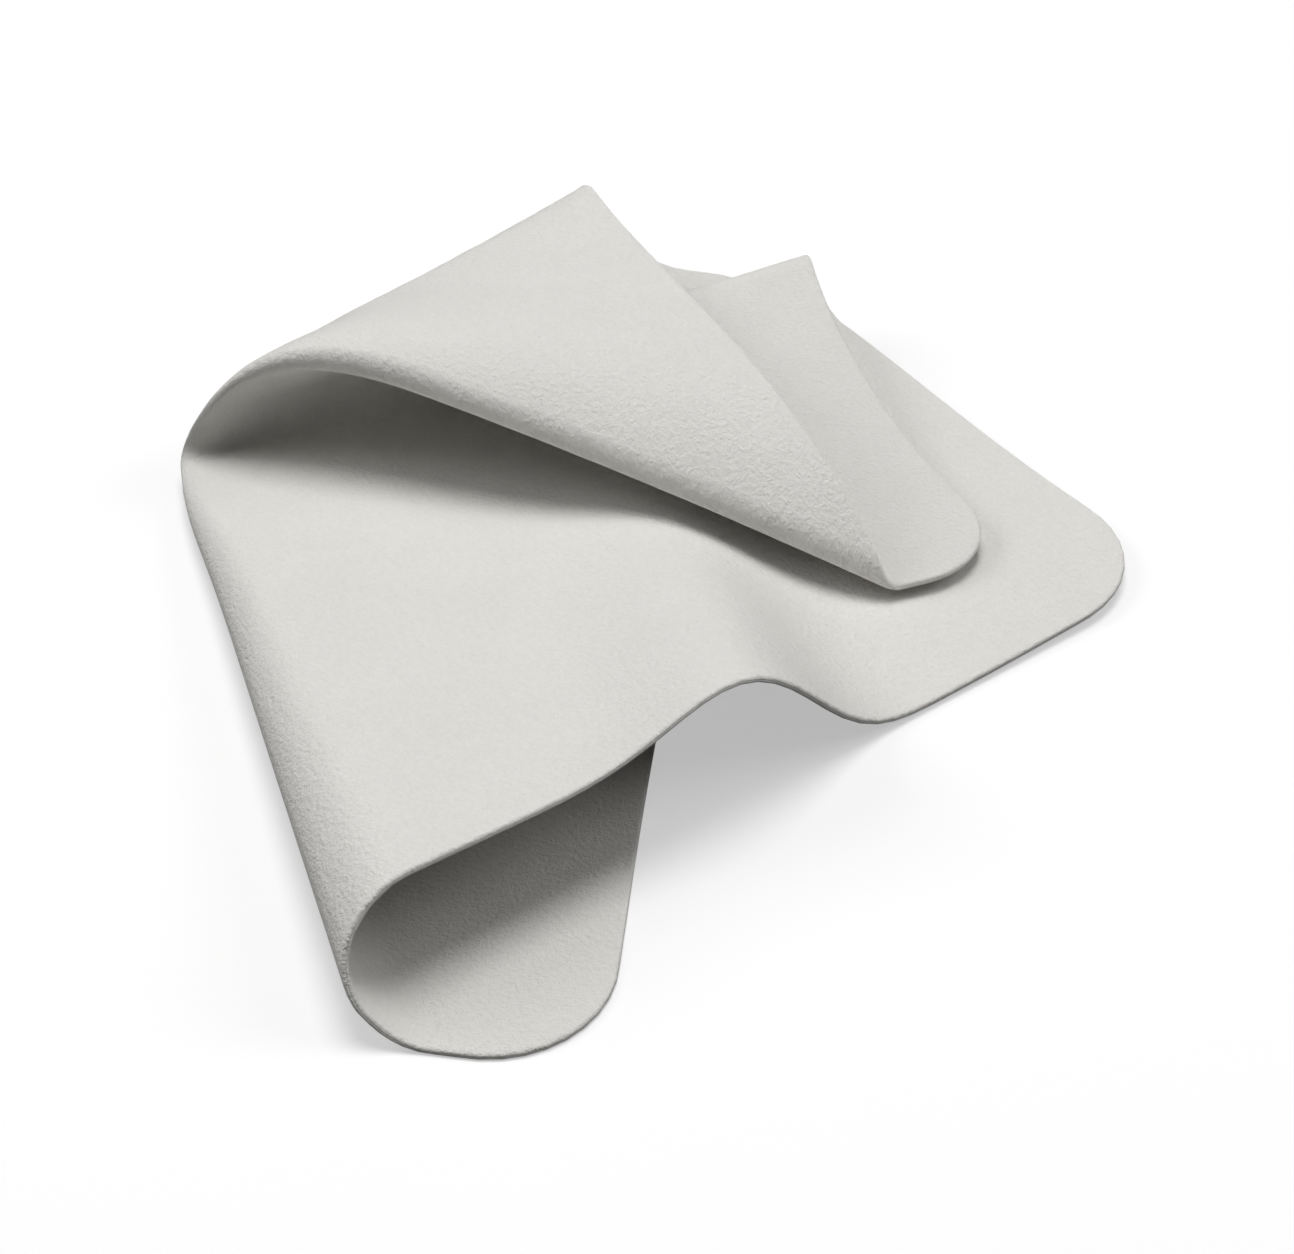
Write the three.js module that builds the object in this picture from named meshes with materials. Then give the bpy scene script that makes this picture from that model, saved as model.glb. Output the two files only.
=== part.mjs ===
// Lens cleaning cloth: a square suede cloth of two bonded plies, lying folded on a flat surface.
// Its left strip is tucked under, then its back part is folded over to the front with the strip.
// Four soft creases meet at one bend on the left. Millimetres, +Z up, front side towards -Y.
import * as THREE from "three";

// Cloth as it is cut
const CLOTH_SIDE = 160;
const CORNER_RADIUS = 10;
const PLY_THICKNESS = 0.4;
const BOND_GAP = 0.1;

// Bend point on the flat cloth, where the creases meet
const BEND_FROM_LEFT = 70.7;
const BEND_FROM_FRONT = 93.5;

// Crease directions on the flat cloth from the bend point, in degrees anticlockwise from the front side
const UNDER_CREASE = -111.9;
const OVER_CREASE = -12.5;
const ROLL_CREASE = 43.2;
const RIDGE_CREASE = 115.7;

// Directions that the flap's two creases take once folded over, and the turn of the whole laid cloth
const ROLL_FOLDED = -55.3;
const RIDGE_FOLDED = 11;
const CLOTH_TURN = 36.9;

// Bend: its height over the floor, and how far from it the layers reach their full heights
const BEND_HEIGHT = 2.6;
const BEND_REACH = 38.9;

// Lower layer: its height over the tucked strip at the back and at the front curl, and its step down
// beside the strip, with the gap that is left under it there, so that the strip carries the cloth
const BACK_HEIGHT = 4.5;
const CURL_HEIGHT = 15.9;
const STEP_FOOT = 77.8;
const STEP_WIDTH = 23.2;
const FLOOR_GAP = 0.3;

// Lower layer: the wave that the step makes at the front side, and the lift of the free corner
const WAVE_HEIGHT = 11.9;
const WAVE_WIDTH = 9;
const CORNER_LIFT = 2.1;
const CORNER_LIFT_REACH = 45;

// Flap: heights of its near edge from the open mouth to the tip, and the gap that its roll leaves there
const MOUTH_HEIGHT = 27;
const TIP_HEIGHT = 5.1;
const EDGE_BOW = 1.3;
const MOUTH_ROLL = 5.5;
const TIP_ROLL = 2.2;

// Flap: its tongue's gap over the lower layer, the rise of the far fold, its ridge and its bulge
const TONGUE_GAP = 3.9;
const FAR_FOLD_RISE = 13.6;
const FAR_FOLD_EASE = 1.31;
const RIDGE_START_HEIGHT = 9.2;
const RIDGE_END_HEIGHT = 19.6;
const FLAP_BULGE = 1.9;

// Softness: a crease is rounded over this share of the gap between its layers, and more at the bend
const CREASE_SOFTNESS = 0.8;
const BEND_SOFTNESS = 2;
const BEND_SOFT_REACH = 8;

// Pinch: the plies are squeezed thin at the bend, up to this distance from it
const PINCH_REACH = 7;
const PINCH_SHARE = 0.1;

// Mesh: points of the rounding disc, and rings round the bend, drawn closer at the bend and the cut edge
const DISC_POINTS = 400;
const RINGS = 11;
const RING_CROWDING = 0.6;

// Mesh rays from the bend: across each crease in shares of its gap, round each corner, at the wave in
// shares of the step's width, by the laid roll in degrees, and the widest and closest turn between two rays
const CREASE_RAYS = [-1.54, -0.77, -0.242, 0.242, 0.77, 1.54];
const CORNER_RAYS = [-0.5, 0, 0.5];
const WAVE_RAYS = [-1, -0.5, 0, 0.5, 1];
const ROLL_RAYS = [-5, 0, 5];
const WIDEST_RAY = 15;
const CLOSEST_RAY = 0.2;

const SUEDE_COLOUR = 0xdedcd6;
const SUEDE_ROUGHNESS = 0.95;

const { clamp, degToRad, euclideanModulo, lerp, mapLinear, smoothstep } = THREE.MathUtils;
const FULL_TURN = 2 * Math.PI;
const QUARTER_TURN = Math.PI / 2;
const GOLDEN_ANGLE = Math.PI * (3 - Math.sqrt(5));
const CLOTH_THICKNESS = 2 * PLY_THICKNESS + BOND_GAP;
const HALVINGS = 48;

const bend = new THREE.Vector2(BEND_FROM_LEFT, BEND_FROM_FRONT);
const under = degToRad(UNDER_CREASE);
const over = degToRad(OVER_CREASE);
const roll = degToRad(ROLL_CREASE);
const ridge = degToRad(RIDGE_CREASE);
const rollFolded = degToRad(ROLL_FOLDED);
const ridgeFolded = degToRad(RIDGE_FOLDED);

// Distance from the bend point to the cloth's rounded outline in a flat direction, found by halving.
function outlineReach(direction) {
  const core = CLOTH_SIDE / 2 - CORNER_RADIUS;
  let inside = 0;
  let outside = 2 * CLOTH_SIDE;
  for (let step = 0; step < HALVINGS; step++) {
    const reach = (inside + outside) / 2;
    const x = Math.abs(bend.x + reach * Math.cos(direction) - CLOTH_SIDE / 2) - core;
    const y = Math.abs(bend.y + reach * Math.sin(direction) - CLOTH_SIDE / 2) - core;
    const beyond = Math.hypot(Math.max(x, 0), Math.max(y, 0)) > CORNER_RADIUS;
    if (beyond) outside = reach;
    else inside = reach;
  }
  return inside;
}

const underLength = outlineReach(under);
const overLength = outlineReach(over);
const rollLength = outlineReach(roll);
const ridgeLength = outlineReach(ridge);

const freeCorner = new THREE.Vector2(CLOTH_SIDE, 0).sub(bend);

// Share of their full heights that the layers have at a distance from the bend, where they all meet.
const opening = (reach) => 1 - clamp(1 - reach / BEND_REACH, 0, 1) ** 3;

// Full heights of the layers, by distance and folded direction from the bend.
const stripHeight = () => 0;

function lowerHeight(reach, direction) {
  const along = reach * Math.cos(direction - under);
  const across = reach * Math.sin(direction - under);
  const frontShare = clamp(along / underLength, 0, 1);
  const plateau = lerp(BACK_HEIGHT, CURL_HEIGHT, frontShare);
  const stepShare = 1 - smoothstep(across, STEP_FOOT - STEP_WIDTH, STEP_FOOT);
  const fromCrest = across - STEP_FOOT + STEP_WIDTH;
  const wave = WAVE_HEIGHT * frontShare ** 2 * Math.exp(-((fromCrest / WAVE_WIDTH) ** 2));
  const fromCorner = Math.hypot(
    reach * Math.cos(direction) - freeCorner.x,
    reach * Math.sin(direction) - freeCorner.y,
  );
  const lift = CORNER_LIFT * clamp(1 - fromCorner / CORNER_LIFT_REACH, 0, 1) ** 2;
  return lerp(FLOOR_GAP, plateau, stepShare) + wave + lift;
}

function nearEdgeHeight(reach) {
  const share = clamp(reach / rollLength, 0, 1);
  return lerp(MOUTH_HEIGHT, TIP_HEIGHT, share) + EDGE_BOW * 4 * share * (1 - share);
}

const rollGap = (reach) => lerp(MOUTH_ROLL, TIP_ROLL, clamp(reach / rollLength, 0, 1));

function tongueHeight(reach, direction) {
  const farShare = clamp((direction - rollFolded) / (over - rollFolded), 0, 1);
  const far = lowerHeight(reach, direction) + TONGUE_GAP + (FAR_FOLD_RISE * reach) / overLength;
  return lerp(nearEdgeHeight(reach), far, farShare ** FAR_FOLD_EASE);
}

function flapHeight(reach, direction) {
  const farShare = (direction - rollFolded) / (ridgeFolded - rollFolded);
  const near = nearEdgeHeight(reach) + rollGap(reach);
  const far = lerp(RIDGE_START_HEIGHT, RIDGE_END_HEIGHT, reach / ridgeLength);
  const bulge = FLAP_BULGE * clamp(reach / rollLength, 0, 1) * 4 * farShare * (1 - farShare);
  return lerp(near, far, farShare) + bulge;
}

// The four panels between the creases, in flat directions anticlockwise from the over crease.
const sweepOf = (direction) => euclideanModulo(direction - over, FULL_TURN);
const panels = [
  { end: sweepOf(roll), foldedStart: over, foldedEnd: rollFolded, height: tongueHeight },
  { end: sweepOf(ridge), foldedStart: rollFolded, foldedEnd: ridgeFolded, height: flapHeight },
  { end: sweepOf(under), foldedStart: ridgeFolded, foldedEnd: under, height: stripHeight },
  { end: FULL_TURN, foldedStart: under, foldedEnd: over, height: lowerHeight },
];
panels.forEach((panel, index) => {
  panel.start = index ? panels[index - 1].end : 0;
});

// A flat point, from the bend, folded along sharp creases.
function sharpFold(x, y) {
  const reach = Math.hypot(x, y);
  const sweep = sweepOf(Math.atan2(y, x));
  const panel = panels.find(({ end }) => sweep <= end);
  const direction = mapLinear(sweep, panel.start, panel.end, panel.foldedStart, panel.foldedEnd);
  const laid = direction + degToRad(CLOTH_TURN);
  const height = lerp(BEND_HEIGHT, panel.height(reach, direction), opening(reach));
  return new THREE.Vector3(reach * Math.cos(laid), reach * Math.sin(laid), height);
}

// The creases with the gap between their layers, by distance from the bend.
const creases = [
  { flat: under, gap: (reach) => lowerHeight(reach, under) },
  { flat: over, gap: (reach) => tongueHeight(reach, over) - lowerHeight(reach, over) },
  { flat: roll, gap: rollGap },
  { flat: ridge, gap: (reach) => flapHeight(reach, ridgeFolded) },
];

// Radius of flat cloth that takes part in the rounding at a flat point.
function roundingRadius(x, y) {
  let total = 0;
  let sum = 0;
  for (const { flat, gap } of creases) {
    const along = Math.max(x * Math.cos(flat) + y * Math.sin(flat), 0);
    const offset = Math.hypot(x - along * Math.cos(flat), y - along * Math.sin(flat));
    const weight = 1 / (1 + offset ** 2) ** 4;
    total += weight;
    sum += weight * gap(along) * opening(along);
  }
  const atBend = BEND_SOFTNESS * Math.exp(-((Math.hypot(x, y) / BEND_SOFT_REACH) ** 2));
  return (CREASE_SOFTNESS * sum) / total + atBend;
}

// Middle surface of the folded cloth: the sharp fold averaged over a small disc of flat cloth.
function middlePoint(x, y) {
  const radius = roundingRadius(x, y);
  const mean = new THREE.Vector3();
  for (let index = 0; index < DISC_POINTS; index++) {
    const reach = radius * Math.sqrt((index + 0.5) / DISC_POINTS);
    const angle = index * GOLDEN_ANGLE;
    mean.add(sharpFold(x + reach * Math.cos(angle), y + reach * Math.sin(angle)));
  }
  mean.divideScalar(DISC_POINTS);
  mean.z += CLOTH_THICKNESS / 2;
  return mean;
}

// Flat directions of the mesh rays: close together where the cloth turns, and filled in between.
function rayDirections() {
  const directions = [];
  for (const { flat, gap } of creases) {
    const reach = outlineReach(flat);
    for (const share of CREASE_RAYS) directions.push(flat + Math.atan2(share * gap(reach), reach));
  }
  const core = CLOTH_SIDE / 2 - CORNER_RADIUS;
  for (const [sideX, sideY] of [[-1, -1], [1, -1], [-1, 1], [1, 1]]) {
    for (const share of CORNER_RAYS) {
      const turn = Math.atan2(sideY, sideX) + share * QUARTER_TURN;
      const x = CLOTH_SIDE / 2 + sideX * core + CORNER_RADIUS * Math.cos(turn) - bend.x;
      const y = CLOTH_SIDE / 2 + sideY * core + CORNER_RADIUS * Math.sin(turn) - bend.y;
      directions.push(Math.atan2(y, x));
    }
  }
  for (const share of WAVE_RAYS) {
    const across = STEP_FOOT - STEP_WIDTH + share * STEP_WIDTH;
    directions.push(Math.atan2(-bend.y, underLength * Math.cos(under) - across / Math.sin(under)));
  }
  for (const turn of ROLL_RAYS) directions.push(rollFolded + degToRad(turn));
  const turns = directions.map((direction) => euclideanModulo(direction, FULL_TURN));
  const sorted = turns.sort((a, b) => a - b);
  const spaced = sorted.filter((turn, i) => i === 0 || turn - sorted[i - 1] > degToRad(CLOSEST_RAY));
  const filled = [];
  spaced.forEach((direction, index) => {
    const next = index + 1 < spaced.length ? spaced[index + 1] : spaced[0] + FULL_TURN;
    const parts = Math.ceil((next - direction) / degToRad(WIDEST_RAY));
    for (let part = 0; part < parts; part++) filled.push(lerp(direction, next, part / parts));
  });
  return filled;
}

// Flat mesh of the cloth: the bend point, then ring after ring of points out to the cut edge.
const rays = rayDirections();
const flatPoints = [new THREE.Vector2()];
for (let ring = 1; ring <= RINGS; ring++) {
  const share = lerp(ring / RINGS, smoothstep(ring / RINGS, 0, 1), RING_CROWDING);
  for (const direction of rays) {
    const reach = share * outlineReach(direction);
    flatPoints.push(new THREE.Vector2(reach * Math.cos(direction), reach * Math.sin(direction)));
  }
}
const middle = flatPoints.map(({ x, y }) => middlePoint(x, y));

// Triangles of one side of the sheet, anticlockwise seen from above the flat cloth.
const sideTriangles = [];
const vertexAt = (ring, ray) => 1 + (ring - 1) * rays.length + (ray % rays.length);
rays.forEach((_, ray) => {
  sideTriangles.push([0, vertexAt(1, ray), vertexAt(1, ray + 1)]);
  for (let ring = 1; ring < RINGS; ring++) {
    const [a, b] = [vertexAt(ring, ray), vertexAt(ring, ray + 1)];
    const [c, d] = [vertexAt(ring + 1, ray), vertexAt(ring + 1, ray + 1)];
    sideTriangles.push([a, c, d], [a, d, b]);
  }
});

// Middle surface of the sheet, with its normals up on the lower layer.
const sheet = new THREE.BufferGeometry().setFromPoints(middle);
sheet.setIndex(sideTriangles.flat());
sheet.computeVertexNormals();
const normalAt = (index) => new THREE.Vector3().fromBufferAttribute(sheet.attributes.normal, index);

// Closed shell of one ply between two distances from the middle surface.
function plyMesh(name, lowSide, highSide) {
  const count = middle.length;
  const offsetPoint = (index, distance) => {
    const squeeze = lerp(PINCH_SHARE, 1, Math.min(flatPoints[index].length() / PINCH_REACH, 1));
    return middle[index].clone().addScaledVector(normalAt(index), distance * squeeze);
  };
  const points = [lowSide, highSide].flatMap((side) => middle.map((_, index) => offsetPoint(index, side)));
  const indices = [];
  for (const [a, b, c] of sideTriangles) indices.push(a, c, b, a + count, b + count, c + count);
  rays.forEach((_, ray) => {
    const a = vertexAt(RINGS, ray);
    const b = vertexAt(RINGS, ray + 1);
    indices.push(a, b, b + count, a, b + count, a + count);
  });
  const geometry = new THREE.BufferGeometry().setFromPoints(points);
  geometry.setIndex(indices);
  geometry.computeVertexNormals();
  const suede = new THREE.MeshStandardMaterial({ color: SUEDE_COLOUR, roughness: SUEDE_ROUGHNESS });
  const mesh = new THREE.Mesh(geometry, suede);
  mesh.name = name;
  return mesh;
}

const cloth = new THREE.Group();
cloth.add(plyMesh("back_ply", -CLOTH_THICKNESS / 2, -BOND_GAP / 2));
cloth.add(plyMesh("face_ply", BOND_GAP / 2, CLOTH_THICKNESS / 2));

// The laid cloth stands on the floor with the middle of its box over the origin.
const box = new THREE.Box3().setFromObject(cloth);
const middleOfBox = box.getCenter(new THREE.Vector3());
cloth.position.set(-middleOfBox.x, -middleOfBox.y, -box.min.z);

export default cloth;
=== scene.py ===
# Lens cleaning cloth: a square suede cloth of two bonded plies, lying folded on a pale floor.
# Four panels meet at one bend: the lower layer, the tongue folded over on to it, the flap folded back
# over the tongue, and the strip that runs from the flap's ridge under the cloth to the curl at the front.
import math

import bmesh
import bpy
import numpy as np
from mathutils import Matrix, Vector


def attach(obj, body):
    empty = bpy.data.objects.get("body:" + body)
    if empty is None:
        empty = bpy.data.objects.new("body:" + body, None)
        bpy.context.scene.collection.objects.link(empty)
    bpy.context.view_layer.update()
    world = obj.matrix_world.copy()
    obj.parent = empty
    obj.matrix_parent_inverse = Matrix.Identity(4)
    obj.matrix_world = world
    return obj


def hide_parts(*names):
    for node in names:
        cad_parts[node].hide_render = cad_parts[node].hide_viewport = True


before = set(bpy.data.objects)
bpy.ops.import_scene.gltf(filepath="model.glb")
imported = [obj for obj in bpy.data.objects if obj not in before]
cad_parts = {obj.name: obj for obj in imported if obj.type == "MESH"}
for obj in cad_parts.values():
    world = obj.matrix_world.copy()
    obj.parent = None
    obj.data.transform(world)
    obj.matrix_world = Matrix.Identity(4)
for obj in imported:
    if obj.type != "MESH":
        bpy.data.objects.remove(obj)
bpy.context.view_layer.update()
scene = bpy.context.scene

# Cloth as it is cut, in millimetres
MM = 0.001
CLOTH_SIDE = 160.0
CORNER_RADIUS = 15.0
CLOTH_THICKNESS = 0.9

# Bend point on the flat cloth, and its place in the part's frame
BEND_FLAT = np.array([70.7, 93.7])
BEND_PLACE = np.array([-62.268, 24.353])

# Crease directions from the bend on the flat cloth and once folded, and the turn of the laid cloth
UNDER_CREASE, OVER_CREASE, ROLL_CREASE, RIDGE_CREASE = np.radians(
    [-111.6, -12.7, 44.0, 116.1]
)
ROLL_FOLDED, RIDGE_FOLDED, CLOTH_TURN = np.radians([-53.6, 10.4, 36.9])

# Bend: height over the floor, how far from it the layers reach their full heights, and its roundness
BEND_HEIGHT = 2.5
BEND_REACH = 39.9
BEND_SOFTNESS = 3.5
BEND_SOFT_REACH = 10.0
CREASE_SOFTNESS = 0.8

# Lower layer: height at the back and at the front curl, with the sag between
BACK_HEIGHT = 3.8
CURL_HEIGHT = 16.0
PLATEAU_SAG = 2.5

# Step of the lower layer down to the floor, steeper at the front edge, and the wave at its top
STEP_FOOT = 76.9
STEP_WIDTH = 22.5
FRONT_STEP_PULL = 3.0
FLOOR_GAP = 0.3
WAVE_HEIGHT = 13.0
WAVE_WIDTH = 9.4

# Lift of the lower layer at its free corner and at the far fold
CORNER_LIFT = 1.7
CORNER_LIFT_REACH = 45.0
FAR_LIFT = 4.0
FAR_LIFT_REACH = 38.0

# Near edge of the flap, from the mouth to the tip: its height, its bow and the gap of its roll
MOUTH_HEIGHT = 27.4
TIP_HEIGHT = 3.0
EDGE_BOW = 1.8
MOUTH_ROLL = 2.2
TIP_ROLL = 2.0

# Tongue over the lower layer, and the rise of its far fold away from the bend
TONGUE_GAP = 4.0
FAR_FOLD_RISE = 7.0
FAR_FOLD_EASE = 1.33

# Flap: height of its far ridge, its bulge, its fullness behind the near edge, and how soon that levels out
RIDGE_START_HEIGHT = 6.6
RIDGE_END_HEIGHT = 19.1
FLAP_BULGE = 0.1
ROLL_FULLNESS = 8.0
ROLL_FULL_REACH = 9.0

# Mesh: halvings that find the outline, points of the rounding disc, rings round the bend, and rays
OUTLINE_HALVINGS = 48
DISC_POINTS = 400
RINGS = 100
EDGE_SAMPLES = 20001
CLOSE_SPACING = 0.35
WIDE_SPACING = 2.6
SPACING_GROWTH = 0.12
WELD = 1e-8

# Ply thickness: rings at the rounded cut edge, and the share that is left at the edge and at the bend
EDGE_INSETS = [1.1, 0.6, 0.3, 0.12, 0.0]
EDGE_ROUND = 0.5
EDGE_SHARE = 0.3
PINCH_REACH = 7.0
PINCH_SHARE = 0.1

# Suede nap: scale per millimetre, detail and roughness of its clumps, fibres and brushed patches
CLUMPS = (1.4, 3.0, 0.6)
FIBRES = (4.5, 2.0, 0.5)
PATCHES = (0.08, 2.0, 0.5)
CLUMP_SHARE = 0.7
HEIGHT_SHARE = 0.75
TONE_LOW = 0.3
TONE_HIGH = 0.7
NAP_DEPTH = 0.0004
BACK_NAP_SHIFT = 37
LIGHT_NAP = (0.77, 0.758, 0.728, 1)
DEEP_NAP = (0.71, 0.698, 0.668, 1)

# Floor as the camera sees it, white with a soft shadow, and its tone as it lights the cloth from below
FLOOR_HALF = 3.0
FLOOR_SEEN = (0.55, 0.55, 0.55, 1)
FLOOR_GLOW = 0.46
FLOOR_BOUNCE = (0.2, 0.2, 0.2, 1)

# Studio light: places and width of the lamps in metres, their power in watts, and the glow all round
LAMPS = {
    "top_light": ((0, 0.1, 0.93), 6.0),
    "left_light": ((-0.7, 0.05, 0.6), 2.5),
    "right_light": ((0.7, 0.05, 0.6), 2.1),
}
LAMP_AIM = (0, 0, 0.01)
LAMP_WIDTH = 0.5
STUDIO_GLOW = 0.03

# Camera at the photograph's angle, aimed at a point on the floor
CAMERA_PITCH = math.radians(39.5)
CAMERA_DISTANCE = 335.1
CAMERA_AIM = BEND_PLACE + [62.208, -30.137]
CAMERA_LENS = 76.5
CAMERA_SENSOR = 36.0
CAMERA_NEAR = 0.01


def outline_reach(direction):
    """Distance from the bend to the rounded outline of the flat cloth in each direction."""
    core = CLOTH_SIDE / 2 - CORNER_RADIUS
    inside = np.zeros_like(direction)
    outside = np.full_like(direction, 2 * CLOTH_SIDE)
    for _ in range(OUTLINE_HALVINGS):
        reach = (inside + outside) / 2
        x = np.abs(BEND_FLAT[0] + reach * np.cos(direction) - CLOTH_SIDE / 2) - core
        y = np.abs(BEND_FLAT[1] + reach * np.sin(direction) - CLOTH_SIDE / 2) - core
        beyond = np.hypot(np.maximum(x, 0), np.maximum(y, 0)) > CORNER_RADIUS
        inside = np.where(beyond, inside, reach)
        outside = np.where(beyond, reach, outside)
    return inside


CREASES = np.array([UNDER_CREASE, OVER_CREASE, ROLL_CREASE, RIDGE_CREASE])
UNDER_LENGTH, OVER_LENGTH, ROLL_LENGTH, RIDGE_LENGTH = outline_reach(CREASES)


def lerp(low, high, share):
    return low + (high - low) * share


def smoothstep(value, low, high):
    share = np.clip((value - low) / (high - low), 0, 1)
    return share * share * (3 - 2 * share)


def hump(share):
    """Arch over a share from 0 to 1, with its top of 1 in the middle."""
    return 4 * share * (1 - share)


def opening(reach):
    """Share of their full gaps that the layers have at a distance from the bend."""
    return 1 - np.clip(1 - reach / BEND_REACH, 0, 1) ** 3


def lower_lift(reach, direction):
    """Lift of the lower layer off the floor at its free corner and along the far fold."""
    corner_x = reach * np.cos(direction) - (CLOTH_SIDE - BEND_FLAT[0])
    corner_y = reach * np.sin(direction) + BEND_FLAT[1]
    corner_share = np.clip(1 - np.hypot(corner_x, corner_y) / CORNER_LIFT_REACH, 0, 1)
    from_over = reach * np.sin(OVER_CREASE - direction)
    far_end = np.clip(reach / OVER_LENGTH, 0, 1) ** 2
    far_lift = FAR_LIFT * far_end * np.exp(-((from_over / FAR_LIFT_REACH) ** 2))
    return CORNER_LIFT * corner_share**2 + far_lift


def lower_height(reach, direction):
    """Height of the lower layer: a sagging plateau that rises to the curl, a wave and a step down."""
    along = reach * np.cos(direction - UNDER_CREASE)
    across = reach * np.sin(direction - UNDER_CREASE)
    front_share = np.clip(along / UNDER_LENGTH, 0, 1)
    depth = np.clip(-reach * np.sin(direction) / BEND_FLAT[1], 0, 1)
    crest = STEP_FOOT - STEP_WIDTH
    sag = hump(depth) * smoothstep(across, 0, crest)
    plateau = lerp(BACK_HEIGHT, CURL_HEIGHT, front_share) - PLATEAU_SAG * sag
    step_share = 1 - smoothstep(across, crest, STEP_FOOT - FRONT_STEP_PULL * depth**3)
    wave = WAVE_HEIGHT * front_share**2 * np.exp(-(((across - crest) / WAVE_WIDTH) ** 2))
    return lerp(FLOOR_GAP, plateau, step_share) + wave + lower_lift(reach, direction)


def near_edge_height(reach):
    """Height of the tongue's side of the rolled near edge, from the mouth down to the tip."""
    share = np.clip(reach / ROLL_LENGTH, 0, 1)
    return lerp(MOUTH_HEIGHT, TIP_HEIGHT, share) + EDGE_BOW * hump(share)


def roll_gap(reach):
    return lerp(MOUTH_ROLL, TIP_ROLL, np.clip(reach / ROLL_LENGTH, 0, 1))


def tongue_height(reach, direction):
    """Height of the tongue, from the near edge back to the far fold over the lower layer."""
    far_share = np.clip((direction - ROLL_FOLDED) / (OVER_CREASE - ROLL_FOLDED), 0, 1)
    far = lower_height(reach, direction) + TONGUE_GAP + FAR_FOLD_RISE * reach / OVER_LENGTH
    return lerp(near_edge_height(reach), far, far_share**FAR_FOLD_EASE)


def flap_height(reach, direction):
    """Height of the flap, from the near edge over its full front to the far ridge."""
    far_share = (direction - ROLL_FOLDED) / (RIDGE_FOLDED - ROLL_FOLDED)
    near = near_edge_height(reach) + roll_gap(reach)
    far = lerp(RIDGE_START_HEIGHT, RIDGE_END_HEIGHT, reach / RIDGE_LENGTH)
    bulge = FLAP_BULGE * np.clip(reach / ROLL_LENGTH, 0, 1) * hump(far_share)
    from_roll = reach * np.sin(direction - ROLL_FOLDED)
    fullness = ROLL_FULLNESS * (1 - np.exp(-from_roll / ROLL_FULL_REACH)) * (1 - far_share)
    return lerp(near, far, far_share) + bulge + fullness


def sweep_of(direction):
    """Turn from the over crease to a flat direction, once round the bend."""
    return np.mod(direction - OVER_CREASE, 2 * math.pi)


PANEL_ENDS = np.array([sweep_of(ROLL_CREASE), sweep_of(RIDGE_CREASE), sweep_of(UNDER_CREASE)])
SWEEPS = np.concatenate([[0], PANEL_ENDS, [2 * math.pi]])
FOLDED = np.array([OVER_CREASE, ROLL_FOLDED, RIDGE_FOLDED, UNDER_CREASE, OVER_CREASE])


def sharp_fold(x, y):
    """Flat points, from the bend, folded along sharp creases."""
    reach = np.hypot(x, y)
    sweep = sweep_of(np.arctan2(y, x))
    direction = np.interp(sweep, SWEEPS, FOLDED)
    full = np.choose(
        np.searchsorted(PANEL_ENDS, sweep),
        [
            tongue_height(reach, direction),
            flap_height(reach, direction),
            np.zeros_like(reach),
            lower_height(reach, direction),
        ],
    )
    laid = direction + CLOTH_TURN
    height = lerp(BEND_HEIGHT, full, opening(reach))
    return np.stack([reach * np.cos(laid), reach * np.sin(laid), height], axis=-1)


def rounding_radius(x, y):
    """Radius of flat cloth that takes part in the rounding at each flat point."""
    gaps = [
        lambda reach: lower_height(reach, UNDER_CREASE),
        lambda reach: tongue_height(reach, OVER_CREASE) - lower_height(reach, OVER_CREASE),
        roll_gap,
        lambda reach: flap_height(reach, RIDGE_FOLDED),
    ]
    total = 0
    gap_sum = 0
    for flat, gap in zip(CREASES, gaps):
        along = np.maximum(x * np.cos(flat) + y * np.sin(flat), 0)
        offset = np.hypot(x - along * np.cos(flat), y - along * np.sin(flat))
        weight = 1 / (1 + offset**2) ** 4
        total = total + weight
        gap_sum = gap_sum + weight * gap(along) * opening(along)
    at_bend = BEND_SOFTNESS * np.exp(-((np.hypot(x, y) / BEND_SOFT_REACH) ** 2))
    return CREASE_SOFTNESS * gap_sum / total + at_bend


def middle_surface(x, y):
    """Folded cloth's middle: the sharp fold averaged over a small disc of flat cloth."""
    radius = rounding_radius(x, y)
    golden_angle = math.pi * (3 - math.sqrt(5))
    mean = np.zeros(x.shape + (3,))
    for index in range(DISC_POINTS):
        reach = radius * math.sqrt((index + 0.5) / DISC_POINTS)
        angle = index * golden_angle
        mean += sharp_fold(x + reach * math.cos(angle), y + reach * math.sin(angle))
    return mean / DISC_POINTS + [BEND_PLACE[0], BEND_PLACE[1], CLOTH_THICKNESS / 2]


def ray_directions():
    """Flat directions of the mesh rays, closer together at the creases, once round the bend."""
    direction = np.linspace(OVER_CREASE, OVER_CREASE + 2 * math.pi, EDGE_SAMPLES)
    reach = outline_reach(direction)
    edge = np.stack([reach * np.cos(direction), reach * np.sin(direction)], axis=-1)
    turn = np.abs(np.angle(np.exp(1j * (direction[:, None] - CREASES[None, :]))))
    beside = (turn * reach[:, None]).min(axis=1)
    spacing = np.clip(CLOSE_SPACING + SPACING_GROWTH * beside, CLOSE_SPACING, WIDE_SPACING)
    length = np.linalg.norm(np.diff(edge, axis=0), axis=1)
    count = np.concatenate([[0], np.cumsum(length / ((spacing[1:] + spacing[:-1]) / 2))])
    rays = round(count[-1])
    return np.interp(np.linspace(0, count[-1], rays + 1), count, direction)


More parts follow.
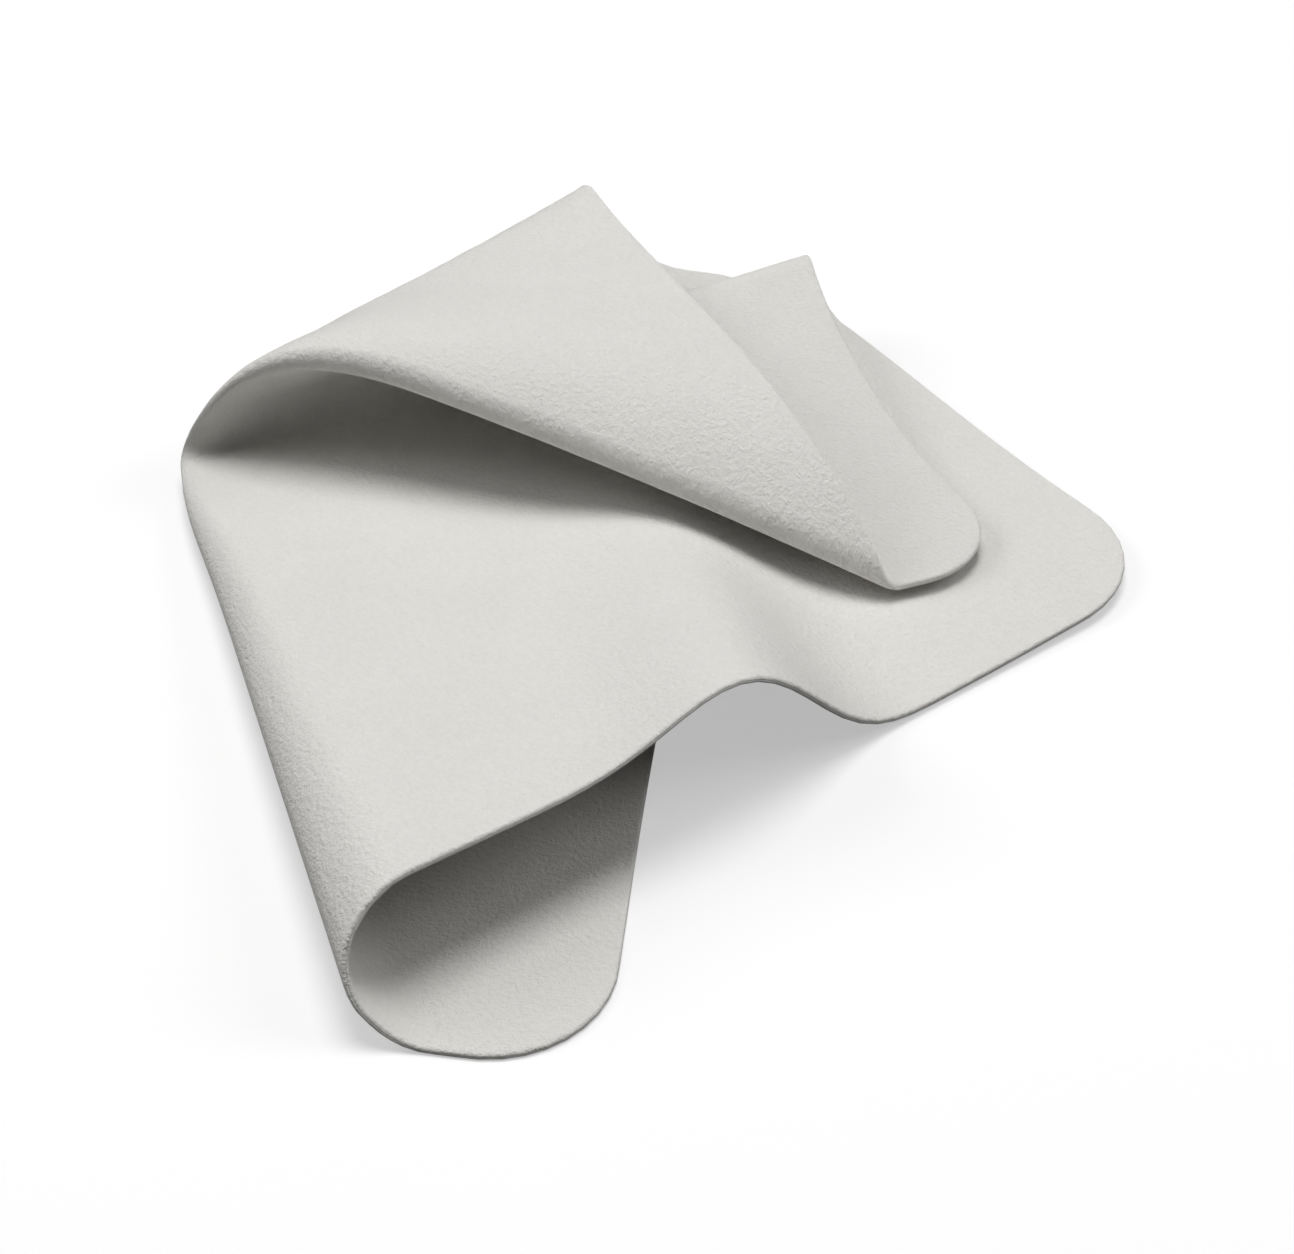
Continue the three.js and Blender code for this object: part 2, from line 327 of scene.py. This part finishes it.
def folded_cloth():
    """Grid of rings and rays, folded and then welded at the bend and round it, with the flat cloth as UV."""
    directions = ray_directions()
    rays = len(directions)
    rings = RINGS + len(EDGE_INSETS)
    bm = bmesh.new()
    bmesh.ops.create_grid(bm, x_segments=rays - 1, y_segments=rings - 1, size=1)
    place = np.array([vertex.co for vertex in bm.verts])
    ray = np.rint((place[:, 0] + 1) / 2 * (rays - 1)).astype(int)
    ring = np.rint((place[:, 1] + 1) / 2 * (rings - 1)).astype(int)
    edge = outline_reach(directions)[ray]
    inset = np.array([0.0] * RINGS + EDGE_INSETS)[ring]
    inner = ring / RINGS * (edge - EDGE_INSETS[0])
    reach = np.where(ring < RINGS, inner, edge - inset)
    x = reach * np.cos(directions[ray])
    y = reach * np.sin(directions[ray])
    folded = middle_surface(x, y) * MM
    from_edge = np.clip((edge - reach) / EDGE_ROUND, 0, 1)
    rounded = lerp(EDGE_SHARE, 1.0, np.sqrt(1 - (1 - from_edge) ** 2))
    pinch = lerp(PINCH_SHARE, 1.0, np.clip(reach / PINCH_REACH, 0, 1))
    flat_u = (x + BEND_FLAT[0]) / CLOTH_SIDE
    flat_v = (y + BEND_FLAT[1]) / CLOTH_SIDE
    layer = bm.loops.layers.uv.new("flat_cloth")
    bm.verts.index_update()
    for face in bm.faces:
        face.smooth = True
        for loop in face.loops:
            index = loop.vert.index
            loop[layer].uv = (flat_u[index], flat_v[index])
    weights = bm.verts.layers.deform.verify()
    for vertex, spot, weight in zip(bm.verts, folded, rounded * pinch):
        vertex.co = spot
        vertex[weights][0] = float(weight)
    bmesh.ops.remove_doubles(bm, verts=bm.verts, dist=WELD)
    bmesh.ops.dissolve_degenerate(bm, dist=WELD, edges=bm.edges)
    mesh = bpy.data.meshes.new("folded_cloth")
    bm.to_mesh(mesh)
    bm.free()
    return mesh


def nap_group():
    """Suede nap: clumped fibres, single fibres and brushed patches, by place on the flat cloth in mm."""
    group = bpy.data.node_groups.new("suede_nap", "ShaderNodeTree")
    face = group.interface
    face.new_socket("Place", in_out="INPUT", socket_type="NodeSocketVector")
    face.new_socket("Light nap", in_out="INPUT", socket_type="NodeSocketColor")
    face.new_socket("Deep nap", in_out="INPUT", socket_type="NodeSocketColor")
    face.new_socket("Colour", in_out="OUTPUT", socket_type="NodeSocketColor")
    face.new_socket("Height", in_out="OUTPUT", socket_type="NodeSocketFloat")
    nodes, links = group.nodes, group.links
    entry = nodes.new("NodeGroupInput")
    out = nodes.new("NodeGroupOutput")

    def noise(scale, detail, rough):
        node = nodes.new("ShaderNodeTexNoise")
        node.inputs["Scale"].default_value = scale
        node.inputs["Detail"].default_value = detail
        node.inputs["Roughness"].default_value = rough
        links.new(entry.outputs["Place"], node.inputs["Vector"])
        return node.outputs["Fac"]

    def scaled(value, share):
        node = nodes.new("ShaderNodeMath")
        node.operation = "MULTIPLY"
        links.new(value, node.inputs[0])
        node.inputs[1].default_value = share
        return node.outputs[0]

    def blend(first, second, first_share):
        node = nodes.new("ShaderNodeMath")
        node.operation = "ADD"
        links.new(scaled(first, first_share), node.inputs[0])
        links.new(scaled(second, 1 - first_share), node.inputs[1])
        return node.outputs[0]

    height = blend(noise(*CLUMPS), noise(*FIBRES), CLUMP_SHARE)
    tone = blend(height, noise(*PATCHES), HEIGHT_SHARE)
    spread = nodes.new("ShaderNodeMapRange")
    spread.inputs["From Min"].default_value = TONE_LOW
    spread.inputs["From Max"].default_value = TONE_HIGH
    links.new(tone, spread.inputs["Value"])
    mix = nodes.new("ShaderNodeMix")
    mix.data_type = "RGBA"
    links.new(spread.outputs["Result"], mix.inputs["Factor"])
    links.new(entry.outputs["Deep nap"], mix.inputs["A"])
    links.new(entry.outputs["Light nap"], mix.inputs["B"])
    links.new(mix.outputs["Result"], out.inputs["Colour"])
    links.new(height, out.inputs["Height"])
    return group


def suede_material(name, group, shift):
    """Matt suede, with the nap laid out on the flat cloth and shifted from one ply to the other."""
    material = bpy.data.materials.new(name)
    material.use_nodes = True
    nodes, links = material.node_tree.nodes, material.node_tree.links
    shader = nodes["Principled BSDF"]
    shader.inputs["Roughness"].default_value = 0.95
    shader.inputs["Specular IOR Level"].default_value = 0.2
    shader.inputs["Sheen Weight"].default_value = 0.12
    shader.inputs["Sheen Roughness"].default_value = 0.5
    place = nodes.new("ShaderNodeUVMap")
    place.uv_map = "flat_cloth"
    mapping = nodes.new("ShaderNodeMapping")
    mapping.inputs["Location"].default_value = (shift, 0, shift)
    mapping.inputs["Scale"].default_value = (CLOTH_SIDE, CLOTH_SIDE, 1)
    nap = nodes.new("ShaderNodeGroup")
    nap.node_tree = group
    nap.inputs["Light nap"].default_value = LIGHT_NAP
    nap.inputs["Deep nap"].default_value = DEEP_NAP
    bump = nodes.new("ShaderNodeBump")
    bump.inputs["Strength"].default_value = 1.0
    bump.inputs["Distance"].default_value = NAP_DEPTH
    links.new(place.outputs["UV"], mapping.inputs["Vector"])
    links.new(mapping.outputs["Vector"], nap.inputs["Place"])
    links.new(nap.outputs["Colour"], shader.inputs["Base Color"])
    links.new(nap.outputs["Height"], bump.inputs["Height"])
    links.new(bump.outputs["Normal"], shader.inputs["Normal"])
    return material


def ply(name, node, mesh, side, material):
    """One suede ply of the folded cloth, from its middle surface out to one side."""
    piece = bpy.data.objects.new(name, mesh.copy())
    scene.collection.objects.link(piece)
    piece.data.materials.append(material)
    piece.vertex_groups.new(name="ply_thickness")
    solid = piece.modifiers.new("thickness", "SOLIDIFY")
    solid.thickness = CLOTH_THICKNESS / 2 * MM
    solid.offset = side
    solid.vertex_group = "ply_thickness"
    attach(piece, "root")
    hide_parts(node)


def floor():
    """Pale floor, shown white round the cloth's shadow."""
    bm = bmesh.new()
    bmesh.ops.create_grid(bm, x_segments=1, y_segments=1, size=FLOOR_HALF)
    mesh = bpy.data.meshes.new("floor")
    bm.to_mesh(mesh)
    bm.free()
    piece = bpy.data.objects.new("floor", mesh)
    scene.collection.objects.link(piece)
    material = bpy.data.materials.new("pale_floor")
    material.use_nodes = True
    nodes, links = material.node_tree.nodes, material.node_tree.links
    shader = nodes["Principled BSDF"]
    shader.inputs["Roughness"].default_value = 0.9
    shader.inputs["Specular IOR Level"].default_value = 0
    ray = nodes.new("ShaderNodeLightPath")
    seen = ray.outputs["Is Camera Ray"]
    for kind in ("Is Glossy Ray", "Is Transmission Ray"):
        either = nodes.new("ShaderNodeMath")
        either.operation = "MAXIMUM"
        links.new(seen, either.inputs[0])
        links.new(ray.outputs[kind], either.inputs[1])
        seen = either.outputs["Value"]
    tone = nodes.new("ShaderNodeMix")
    tone.data_type = "RGBA"
    tone.inputs["A"].default_value = FLOOR_BOUNCE
    tone.inputs["B"].default_value = FLOOR_SEEN
    links.new(seen, tone.inputs["Factor"])
    links.new(tone.outputs["Result"], shader.inputs["Base Color"])
    glow = nodes.new("ShaderNodeMath")
    glow.operation = "MULTIPLY"
    glow.inputs[1].default_value = FLOOR_GLOW
    links.new(seen, glow.inputs[0])
    shader.inputs["Emission Color"].default_value = (1, 1, 1, 1)
    links.new(glow.outputs["Value"], shader.inputs["Emission Strength"])
    piece.data.materials.append(material)


def lamp(name, place, power):
    """Round soft lamp that faces the cloth."""
    data = bpy.data.lights.new(name, "AREA")
    data.shape = "DISK"
    data.size = LAMP_WIDTH
    data.energy = power
    piece = bpy.data.objects.new(name, data)
    piece.location = place
    direction = Vector(LAMP_AIM) - Vector(place)
    piece.rotation_mode = "QUATERNION"
    piece.rotation_quaternion = direction.to_track_quat("-Z", "Y")
    scene.collection.objects.link(piece)


def studio_glow():
    """Faint even light from all round."""
    world = bpy.data.worlds.new("studio")
    world.use_nodes = True
    background = world.node_tree.nodes["Background"]
    background.inputs["Color"].default_value = (1, 1, 1, 1)
    background.inputs["Strength"].default_value = STUDIO_GLOW
    scene.world = world


def photo_camera():
    """Camera at the photograph's viewing angle."""
    camera = bpy.data.objects.new("camera", bpy.data.cameras.new("camera"))
    camera.data.lens = CAMERA_LENS
    camera.data.sensor_width = CAMERA_SENSOR
    camera.data.clip_start = CAMERA_NEAR
    camera.location = (
        CAMERA_AIM[0] * MM,
        (CAMERA_AIM[1] - CAMERA_DISTANCE * math.cos(CAMERA_PITCH)) * MM,
        CAMERA_DISTANCE * math.sin(CAMERA_PITCH) * MM,
    )
    camera.rotation_euler = (math.pi / 2 - CAMERA_PITCH, 0, 0)
    scene.collection.objects.link(camera)
    return camera


cloth = folded_cloth()
nap = nap_group()
ply("suede_face_ply", "face_ply", cloth, 1, suede_material("face_suede", nap, 0))
ply("suede_back_ply", "back_ply", cloth, -1, suede_material("back_suede", nap, BACK_NAP_SHIFT))

floor()
for lamp_name, (lamp_place, lamp_power) in LAMPS.items():
    lamp(lamp_name, lamp_place, lamp_power)
studio_glow()
scene.camera = photo_camera()
scene.view_settings.view_transform = "Standard"
